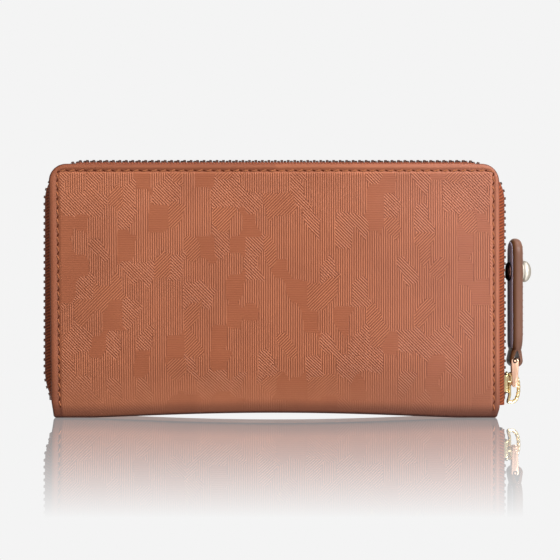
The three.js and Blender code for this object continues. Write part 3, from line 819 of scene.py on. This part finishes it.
def d_ring():
    """A straight bar and a bow, in one closed loop; the bow is twisted like a rope."""
    wire = 0.7 * MM
    middle, half_tall = (ring_low.z + ring_high.z) / 2, (ring_high.z - ring_low.z) / 2 - wire
    reach = 4.0 * MM
    outline = []
    for angle in np.linspace(-math.pi / 2, math.pi / 2, 60):
        outline.append((BAR.x + reach * math.cos(angle) ** 0.62, middle + half_tall * math.sin(angle)))
    for z in np.linspace(middle + half_tall - 0.9 * MM, middle - half_tall + 0.9 * MM, 30):
        outline.append((BAR.x, z))
    loop = Line(np.array(outline + outline[:1]))
    where = np.linspace(0, loop.total, 260, endpoint=False)
    ahead = loop.at((where + 0.5 * MM) % loop.total) - loop.at((where - 0.5 * MM) % loop.total)
    ahead /= np.linalg.norm(ahead, axis=1)[:, None]
    path = loop.at(where)
    for _ in range(3):
        path = (np.roll(path, 1, 0) + 2 * path + np.roll(path, -1, 0)) / 4
    rope = smooth(path[:, 0], BAR.x + 0.5 * MM, BAR.x + 1.6 * MM)
    # Its lower corner is drawn out towards the cover.
    low_corner = (1 - smooth(path[:, 1], ring_low.z + wire, ring_low.z + 4 * MM)) * (1 - rope)
    path[:, 0] -= 0.7 * MM * low_corner
    angles = np.linspace(0, 2 * math.pi, 18, endpoint=False)
    strands = 0.5 + 0.5 * np.cos(3 * (angles - where[:, None] * 2 * math.pi / (5.4 * MM)))
    radius = wire * (1 + rope[:, None] * (0.2 * strands**0.7 - 0.02))
    out = np.stack([ahead[:, 1], np.zeros(len(where)), -ahead[:, 0]], 1)[:, None, :]
    c, d = np.cos(angles)[:, None], np.sin(angles)[:, None]
    sections = radius[:, :, None] * (c * out + d * np.array([0, 1, 0]))
    path = np.stack([path[:, 0], np.zeros(len(where)), path[:, 1]], 1)
    return sweep("ring", path, sections, GOLD, closed=True)


def leg_outline(grow):
    """Half a link's leg seen from its end: a rounded head that narrows to the foot, as rows of x and z."""
    low, top = LINK_FOOT.z - 0.75 * MM - grow, LINK_HEAD.z + 0.95 * MM + grow
    foot, head = 0.65 * MM + grow, 0.47 * MM + grow
    small, large = 0.5 * MM, 1.15 * MM  # radii of its corners
    right = []
    for angle in np.linspace(-math.pi / 2, 0, 5):
        right.append((foot + small * math.cos(angle), low + small + small * math.sin(angle)))
    for angle in np.linspace(0, math.pi / 2, 9):
        right.append((head + large * math.cos(angle), top - large + large * math.sin(angle)))
    return right + [(-x, z) for x, z in reversed(right)]


def link():
    pieces = []
    for side in (-1, 1):
        rows = []
        for y, grow in ((5.22, -0.16), (5.3, -0.03), (5.42, 0.0), (6.0, 0.0), (6.2, -0.06), (6.32, -0.25)):
            rows.append([(x, side * y * MM, z) for x, z in leg_outline(grow * MM)])
        leg = filled(add_grid(f"leg_{side}", np.array(rows), ROSE_GOLD, closed_columns=True))
        pieces.append(sharp_edges(leg, 40))
        # The high bar is a pin: its end shows in each leg as a dark cup with a bright middle; the cup and
        # the well are black as painted shade in its hole.
        place = Matrix.Translation((0, side * 6.32 * MM, LINK_HEAD.z))
        place = place @ Matrix.Rotation(-side * math.pi / 2, 4, "X")
        cup = [(0.5, -0.3), (0.5, 0.05), (0.95, 0.05), (1.05, 0.0), (1.05, -0.3)]
        middle, well = [(0, 0.06), (0.2, 0.05), (0.26, -0.3)], [(0, -0.1), (0.52, -0.1)]
        for profile, material in ((cup, BLACK_PIT), (middle, ROSE_GOLD), (well, BLACK_PIT)):
            end = lathe("pin_end", np.array(profile) * MM, material, 24)
            end.data.transform(place)
            pieces.append(end)
    for z in (LINK_FOOT.z, LINK_HEAD.z):
        outline = np.array([(0, -5.3), (0.55, -5.3), (0.55, 5.3), (0, 5.3)]) * MM
        rod = lathe("rod", outline, ROSE_GOLD, 20)
        rod.data.transform(Matrix.Translation((0, 0, z)) @ Matrix.Rotation(math.pi / 2, 4, "X"))
        pieces.append(sharp_edges(rod))
    whole = join("link", pieces)
    angle = math.atan2(-LINK_AXIS.x, LINK_AXIS.y)
    whole.data.transform(Matrix.Translation((LINK_FOOT.x, LINK_FOOT.y, 0)) @ Matrix.Rotation(angle, 4, "Z"))
    return whole


# ---- Leather pull ----
PULL_X = 104.1 * MM  # middle of the pull's thickness
PULL_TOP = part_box("strap_leather")[1].z
PULL_HALF = 6.0 * MM
PULL_CENTRE = PULL_TOP - PULL_HALF  # centre of its round end
NECK_HALF = 4.35 * MM
LEAF = 2.1 * MM  # thickness of each of its two layers
OUTER_LEAF = 2.6 * MM  # the outer one is fuller
THIN = 1.35 * MM  # the same round the fold
BORE = 1.5 * MM  # inside of the fold round the link's bar
JOIN = LINK_HIGH.z + 4.3 * MM  # height at which the two layers meet
STUD_Z = sum(corner.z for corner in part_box("stud_cap")) / 2
STUD_RADIUS = 4.6 * MM


def pull_half_width(z):
    wide = NECK_HALF + (PULL_HALF - NECK_HALF) * smooth(z, LINK_HIGH.z + 2.5 * MM, LINK_HIGH.z + 8.5 * MM)
    end = np.clip((z - PULL_CENTRE) / PULL_HALF, 0, 1)
    return wide * np.sqrt(np.maximum(1 - end**2, 0.0004))


def leaf_thickness(z):
    return THIN + (LEAF - THIN) * smooth(z, LINK_HIGH.z - 0.5 * MM, LINK_HIGH.z + 7 * MM)


def leaf_section(z, half, outer):
    """Across one layer: sideways place and height over its inner face, with a well rounded outer edge."""
    thick = float(leaf_thickness(z))
    if outer:
        thick += (OUTER_LEAF - LEAF) * float(smooth(z, LINK_HIGH.z, LINK_HIGH.z + 12 * MM))
    radius = min(2.3 * MM, thick - 0.12 * MM)
    sideways = half * np.sin(np.linspace(-math.pi / 2, math.pi / 2, 25))
    if z > PULL_CENTRE:
        depth = PULL_HALF - np.hypot(sideways, z - PULL_CENTRE)
    else:
        depth = half - np.abs(sideways)
    depth = np.clip(depth, 0, radius)
    over = thick - radius + np.sqrt(np.maximum(radius**2 - (radius - depth) ** 2, 0))
    return np.array([(half, 0.0), (0.0, 0.0), (-half, 0.0)] + list(zip(sideways, over)))


def pull_strip():
    """Down the outer layer, round the link's bar and up the inner one, along the layers' inner faces."""
    end = PULL_CENTRE + PULL_HALF * np.cos(np.linspace(0.03, math.pi / 2, 16))
    straight = np.linspace(PULL_CENTRE - 1 * MM, JOIN + 0.5 * MM, 22)
    heights = np.concatenate([end, straight, np.linspace(JOIN, LINK_HIGH.z + 0.3 * MM, 12)])
    part = np.clip(1 - (heights - LINK_HIGH.z) / (JOIN - LINK_HIGH.z), 0, 1) ** 0.62
    mid = PULL_X + (LINK_HIGH.x - PULL_X) * part
    turn = np.linspace(0, -math.pi, 19)
    around = LINK_HIGH.x + BORE * np.cos(turn)
    xs = np.concatenate([mid + BORE * part, around, (mid - BORE * part)[::-1]])
    zs = np.concatenate([heights, LINK_HIGH.z + BORE * np.sin(turn), heights[::-1]])
    ahead = np.stack([np.gradient(xs), np.gradient(zs)], 1)
    ahead /= np.linalg.norm(ahead, axis=1)[:, None]
    out = np.stack([-ahead[:, 1], np.zeros(len(xs)), ahead[:, 0]], 1)
    for i, z in enumerate(zs):
        if z > JOIN + 0.4 * MM:
            out[i] = (1 if i < len(zs) / 2 else -1, 0, 0)
    half = pull_half_width(zs)
    sections = []
    for i, z in enumerate(zs):
        ring = leaf_section(z, half[i], i < len(zs) / 2)
        sections.append(ring[:, :1] * np.array([0, 1, 0]) + ring[:, 1:] * out[i])
    path = np.stack([xs, np.zeros(len(xs)), zs], 1)
    piece = sweep("pull_strip", path, np.array(sections), PULL_LEATHER)
    across = np.array([vertex.co.x - PULL_X for vertex in piece.data.vertices])
    # Painted shade along the inner layer's edge, beside the lining.
    set_attribute(piece, "band", smooth(-across, 0.7 * MM, 1.3 * MM))
    return sharp_edges(piece, 50)


def pull_outline(inset, bottom, step):
    """Up one long side of the pull, round its end and down the other, as a line of (y, z)."""
    radius = PULL_HALF - inset
    up = np.arange(bottom, PULL_CENTRE, step)
    turn = np.linspace(0, math.pi, max(12, int(math.pi * radius / step)))
    side = np.minimum(radius, pull_half_width(up) - inset)
    end = np.stack([-radius * np.cos(turn), PULL_CENTRE + radius * np.sin(turn)], 1)[1:-1]
    return np.concatenate([np.stack([-side, up], 1), end, np.stack([side, up], 1)[::-1]])


def pull_lining():
    """The cloth on the pull's inner face, let in between its rounded edges."""
    outline = pull_outline(1.45 * MM, LINK_HIGH.z + 5.5 * MM, 1.5 * MM)
    face = PULL_X - 0.02 * MM
    rows = []
    for lift, inset in ((-0.15, 0.0), (0.0, 0.0), (0.05, 0.2), (0.06, 2.0), (0.06, 6.0)):
        ring = []
        for y, z in outline:
            shrink = max(0.02, 1 - inset * MM / PULL_HALF)
            ring.append((face - float(leaf_thickness(z)) - lift * MM, y * shrink, z))
        rows.append(ring)
    piece = add_grid("pull_lining", np.array(rows), GREY_LINING, closed_columns=True)
    fix_normals(piece)
    return sharp_edges(piece, 50)


def pull_stitches(sign, label):
    line = Line(pull_outline(1.75 * MM, LINK_HIGH.z + 9 * MM, 0.2 * MM))
    face = PULL_X + OUTER_LEAF if sign > 0 else PULL_X - LEAF - 0.06 * MM

    def place(where, sideways, up):
        y, z = line.beside(where, sideways)
        return np.stack([face + sign * up, y, z], axis=-1)

    name = f"pull_stitches_{label}"
    return stitches(name, line, place, THREAD_PULL, 2.9 * MM, 0.24 * MM, 0.18 * MM, sink=0.31 * MM)


def stud():
    """A domed cap on the outer face and a ring-shaped back on the inner one, the back's gold darkened as a
    painted reflection of the dark leather beside it.
    """
    rise, belly = 4.45 * MM, 1.6 * MM  # heights of its top and of its widest place
    foot = STUD_RADIUS - 0.35 * MM
    cap = [(0, -1 * MM), (1 * MM, -1 * MM), (1 * MM, 0), (foot - 0.1 * MM, 0.02 * MM), (foot, 0.2 * MM)]
    cap += [(foot, 0.45 * MM), (foot - 0.12 * MM, 0.62 * MM)]
    for angle in np.linspace(-0.35, math.pi / 2, 18)[:-1]:
        cap.append((STUD_RADIUS * math.cos(angle), belly + (rise - belly) * math.sin(angle)))
    dome = lathe("stud_dome", cap + [(0, rise)], CREAM_GOLD, 56)
    out = Matrix.Translation((PULL_X + OUTER_LEAF, 0, STUD_Z))
    dome.data.transform(out @ Matrix.Rotation(math.pi / 2, 4, "Y"))
    back = [(0, 0), (3.9, 0), (4.0, 0.15), (4.0, 0.6875), (3.7, 1.0), (3.1, 1.0), (2.9, 0.6875)]
    back += [(2.3, 0.625), (2.1, 1.125), (1.7, 1.25), (0, 1.25)]
    rear = lathe("stud_rear", np.array(back) * MM, DARK_REFLECTION_METAL, 48)
    inward = Matrix.Translation((PULL_X - LEAF - 0.32 * MM, 0, STUD_Z))
    rear.data.transform(inward @ Matrix.Rotation(-math.pi / 2, 4, "Y"))
    return sharp_edges(dome, 45), sharp_edges(rear, 35)


# ---- Inside ----
def arched_sheet(name, node_name, share, material):
    """A spine layer, lifted along its middle as the hide under it is."""
    low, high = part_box(node_name)
    xs = np.linspace(low.x, high.x, 60)
    rise = share * arch(xs)
    ring = [(low.y, low.z), (high.y, low.z), (high.y, high.z), (low.y, high.z)]
    points = np.array([[(x, y, z + r) for y, z in ring] for x, r in zip(xs, rise)])
    piece = sharp_edges(sweep(name, np.zeros((len(xs), 3)), points, material))
    settle(piece, "lining" if material is LINING else "board", "spine", node_name)


def gusset(side, name, end, end_name):
    """A pleated end wall that unfolds between the coin pocket and a cover."""
    low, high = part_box(f"{name}_gusset_{end_name}")
    near, far = 2.0 * MM, 6.1 * MM
    middle, swing = (abs(low.x) + abs(high.x)) / 2, 3.6 * MM
    across = np.linspace(0, 1, 49)
    heights = np.linspace(low.z, high.z, 24)
    fold = np.cos(across * 4 * math.pi)
    x = end * (middle + swing * np.sign(fold) * np.abs(fold) ** 0.8)
    y = side * (near + (far - near) * across)
    points = np.array([[(a, b, z) for a, b in zip(x, y)] for z in heights])
    piece = add_grid(f"{name}_pleats_{end_name}", points, LINING)
    solid = piece.modifiers.new("thickness", "SOLIDIFY")
    solid.thickness = 0.3 * MM
    solid.offset = 0
    joined = join(f"{name}_pleats_{end_name}", [piece])
    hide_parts(f"{name}_gusset_{end_name}")
    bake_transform(joined)


def hem(name, x0, x1, y, z):
    """The rolled top edge of a pocket."""
    xs = np.linspace(x0, x1, 60)
    angles = np.linspace(0, 2 * math.pi, 12, endpoint=False)
    end = np.minimum(np.abs(xs - x0), np.abs(x1 - xs)) / (1.2 * MM)
    size = 0.42 * MM * np.sqrt(np.clip(1 - (1 - np.clip(end, 0, 1)) ** 2, 0.04, 1))
    ring = np.stack([np.zeros(12), 0.8 * np.cos(angles), 1.25 * np.sin(angles)], 1)
    path = np.stack([xs, np.full_like(xs, y), np.full_like(xs, z)], 1)
    return sweep(name, path, size[:, None, None] * ring[None], INNER_LEATHER)


def pocket_stitches(name, points, y, side, slant, body):
    """A line of stitches through points of x and z, on the face at y of a pocket."""
    line = Line(np.array(points))

    def place(where, sideways, up):
        x, z = line.beside(where, sideways)
        return np.stack([x, y - side * up, z], axis=-1)

    sewn = stitches(name, line, place, THREAD_TAN, 3.0 * MM, 0.2 * MM, slant)
    settle(sewn, "inner_leather", body)


def pocket_trim(side, name):
    """Hems and stitching on the slip pocket and the card slots of one cover."""
    body = f"{name}_cover"
    for label in ["slip_pocket"] + [f"card_slot_{i}" for i in range(1, 5)]:
        low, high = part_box(f"{name}_{label}")
        start, end = low.x + 2 * MM, high.x - 2 * MM
        bead = hem(f"{name}_{label}_hem", start, end, (low.y + high.y) / 2, high.z - 0.45 * MM)
        settle(bead, "inner_leather", body)
        inner = high.y if side < 0 else low.y
        xs = np.arange(low.x + 2.5 * MM, high.x - 2.5 * MM, 1 * MM)
        row = [(x, high.z - 2.2 * MM) for x in xs]
        pocket_stitches(f"{name}_{label}_stitches", row, inner, side, 0.15 * MM, body)
    # A seam parts the column of slots down its middle; it is sewn on the last slot's face.
    column = [(0, z) for z in np.arange(low.z + 1 * MM, high.z - 3 * MM, 1 * MM)]
    pocket_stitches(f"{name}_slot_divider", column, inner, side, -0.15 * MM, body)


for side, name in ((-1, "front"), (1, "back")):
    skin = hide(side, name)
    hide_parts(f"{name}_leather", *(["spine_leather"] if side < 0 else []))
    fold_over(skin)
    for piece in cover_stitches(side, name):
        fold_over(piece)
    settle(tape(side, name), "zip_tape", f"{name}_cover", f"{name}_zip_tape")
    settle(teeth(side, name), "zip_metal", f"{name}_cover", f"{name}_zip_teeth")
    stops(side, name)
    for end, end_name in ((-1, "left"), (1, "right")):
        gusset(side, name, end, end_name)
    pocket_trim(side, name)

settle(slider(), "gold_metal", "slider", "slider_body")
settle(turned(d_ring()), "gold_metal", "d_ring", "d_ring")
settle(link(), "rose_gold_metal", "link", "pull_link")
settle(turned(pull_strip()), "pull_leather", "pull", "strap_leather", "strap_core")
settle(turned(pull_lining()), "grey_lining", "pull", "strap_lining")
for sign, label in ((1, "outer"), (-1, "inner")):
    settle(turned(pull_stitches(sign, label)), "pull_leather", "pull")
dome, rear = stud()
settle(turned(dome), "gold_metal", "pull", "stud_cap")
settle(turned(rear), "dark_metal", "pull", "stud_back")
arched_sheet("spine_stiffener", "spine_board", 0.9, BOARD)
arched_sheet("spine_cloth", "spine_lining", 0.6, LINING)

# Carried-over CAD nodes get the materials of this scene.
FINISH = {
    "board": BOARD,
    "lining": LINING,
    "slip_pocket": INNER_LEATHER,
    "card_slot": INNER_LEATHER,
    "wall": INNER_LEATHER,
    "coin_pocket_base": LINING,
    "_tape": LINING,
    "coin_zip_chain": NICKEL,
    "coin_slider": GOLD,
    "coin_pull": GOLD,
}
for node_name, part in frame["nodes"].items():
    if part.hide_render:
        continue
    for key, material in FINISH.items():
        if key in node_name:
            part.data.materials.clear()
            part.data.materials.append(material)
            break


# ---- Floor, light and camera ----
BACKGROUND = (244, 244, 244)
MIRROR_REACH = 0.385  # metres from the spine to where the floor mirrors nothing
MIRROR_SHARE = 0.74  # how much it mirrors right at the wallet
CAMERA_AWAY = 0.888  # metres from the front cover
CAMERA_WIDTH = 0.2395  # metres that the picture shows at that distance


def floor():
    """A pale polished floor. Its mirror image fades out away from the wallet, towards the front."""
    material = bpy.data.materials.new("pale_floor")
    material.use_nodes = True
    tree = material.node_tree
    tree.nodes.clear()
    place = node(tree, "SeparateXYZ", {"Vector": node(tree, "TexCoord").outputs["Object"]})
    distance = divided(maths("ABSOLUTE", place.outputs["Y"]), MIRROR_REACH)
    fade = minus(1.0, maths("POWER", distance, 2.4))
    share = maths("MAXIMUM", times(fade, MIRROR_SHARE), 0.0)
    plain = node(tree, "Emission", {"Color": (*linear(BACKGROUND), 1), "Strength": 1.0})
    gloss = node(tree, "BsdfGlossy", {"Color": (1, 1, 1, 1), "Roughness": 0.0})
    both = node(tree, "MixShader", {0: share, 1: plain.outputs[0], 2: gloss.outputs[0]})
    out = node(tree, "OutputMaterial")
    tree.links.new(both.outputs[0], out.inputs["Surface"])
    points = [(-6, -6, 0), (6, -6, 0), (6, 6, 0), (-6, 6, 0)]
    ground = add_mesh("floor", points, [(0, 1, 2, 3)], material, smooth=False)
    ground.visible_diffuse = False


def area_light(name, where, size, power):
    """A white lamp that faces the middle of the front cover; power is in watts."""
    light = bpy.data.lights.new(name, "AREA")
    light.shape = "RECTANGLE"
    light.size, light.size_y = size
    light.energy = power
    lamp = bpy.data.objects.new(name, light)
    lamp.location = where
    lamp.rotation_euler = (Vector((0, 0, TOP / 2)) - lamp.location).to_track_quat("-Z", "Y").to_euler()
    bpy.context.collection.objects.link(lamp)


floor()

world = bpy.data.worlds.new("studio")
bpy.context.scene.world = world
world.use_nodes = True
sky = world.node_tree
sky.nodes.clear()
# The backdrop is bright to the camera and to mirrors that look at it; the rest of the room is dimmer,
# brightest at the right and darkest below.
seen = node(sky, "Background", {"Color": (*linear(BACKGROUND), 1), "Strength": 1.0})
facing = node(sky, "SeparateXYZ", {"Vector": node(sky, "TexCoord").outputs["Generated"]})
ahead_x, ahead_y, ahead_z = facing.outputs
room = times(remap(ahead_z, -0.3, 0.5, 0.05, 0.34), remap(ahead_x, -1.0, 1.0, 0.45, 1.5))
room = plus(room, remap(ahead_z, -0.6, -0.95, 0.0, 0.7))
mirrored = times(remap(ahead_x, -1.0, 1.0, 0.3, 1.0), remap(ahead_z, -0.4, 0.4, 0.45, 1.0))
ray = node(sky, "LightPath")
glossy = ray.outputs["Is Glossy Ray"]
room = node(sky, "Mix", {"Factor": glossy, "A": room, "B": mirrored}).outputs[0]
lit = node(sky, "Background", {"Color": (1, 1, 1, 1), "Strength": room})
behind = times(glossy, maths("GREATER_THAN", ahead_y, 0.3))
backdrop = maths("MAXIMUM", ray.outputs["Is Camera Ray"], behind)
chosen = node(sky, "MixShader", {0: backdrop, 1: lit.outputs[0], 2: seen.outputs[0]})
sky.links.new(chosen.outputs[0], node(sky, "OutputWorld").inputs["Surface"])

area_light("key", (0.5, -0.62, 0.44), (0.35, 0.35), 9.0)
area_light("fill", (-0.5, -0.9, 0.4), (0.6, 0.5), 2.2)
area_light("top", (0.25, -0.15, 0.8), (0.5, 0.4), 3.0)

camera = bpy.data.cameras.new("camera")
camera.sensor_width = 36
camera.angle = 2 * math.atan(CAMERA_WIDTH / 2 / CAMERA_AWAY)
camera.clip_start, camera.clip_end = 0.01, 20
eye = bpy.data.objects.new("camera", camera)
eye.location = (2.3 * MM, -(CAMERA_AWAY + DEPTH), 59 * MM)
eye.rotation_euler = (math.pi / 2, 0, 0)
bpy.context.collection.objects.link(eye)
bpy.context.scene.camera = eye
bpy.context.scene.view_settings.view_transform = "Standard"
